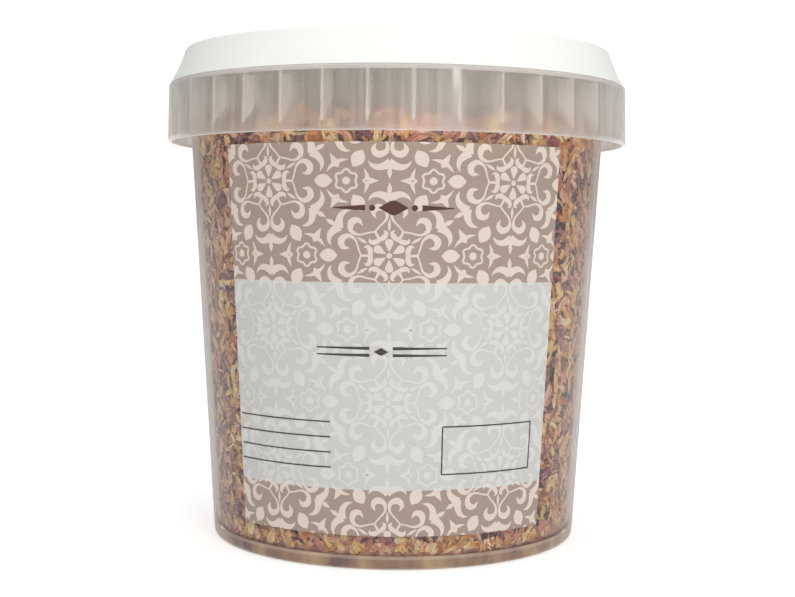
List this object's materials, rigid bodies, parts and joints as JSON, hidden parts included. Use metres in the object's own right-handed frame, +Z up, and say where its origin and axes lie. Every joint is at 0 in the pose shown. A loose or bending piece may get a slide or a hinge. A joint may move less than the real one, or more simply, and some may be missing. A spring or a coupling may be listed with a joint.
{
  "type": "lidded tub of dried shallot flakes",
  "caption": "Round tapered tub with a ribbed collar, a press-on lid and a printed front label, filled with dried shallot flakes.",
  "frame": {"origin": "centre of the foot ring, on the surface the tub stands on", "axes": "+Z up through the lid, -Y out of the middle of the front label, +X to the right of the label"},
  "size_m": [0.133, 0.133, 0.1395],
  "materials": {
    "tub_plastic": "natural polypropylene, injection moulded, milky and see-through, satin gloss",
    "lid_plastic": "white polyethylene, injection moulded, satin",
    "label_paper": "semi-gloss coated paper, printed with a cream tile ornament on taupe and a pale grey middle band",
    "shallot_flakes": "dried shallot skins and slices, papery, tan, golden, rose brown and plum"
  },
  "bodies": {
    "root": {"tub": "tub_plastic", "lid": "lid_plastic", "label": "label_paper", "flakes": "shallot_flakes"}
  },
  "joints": []
}
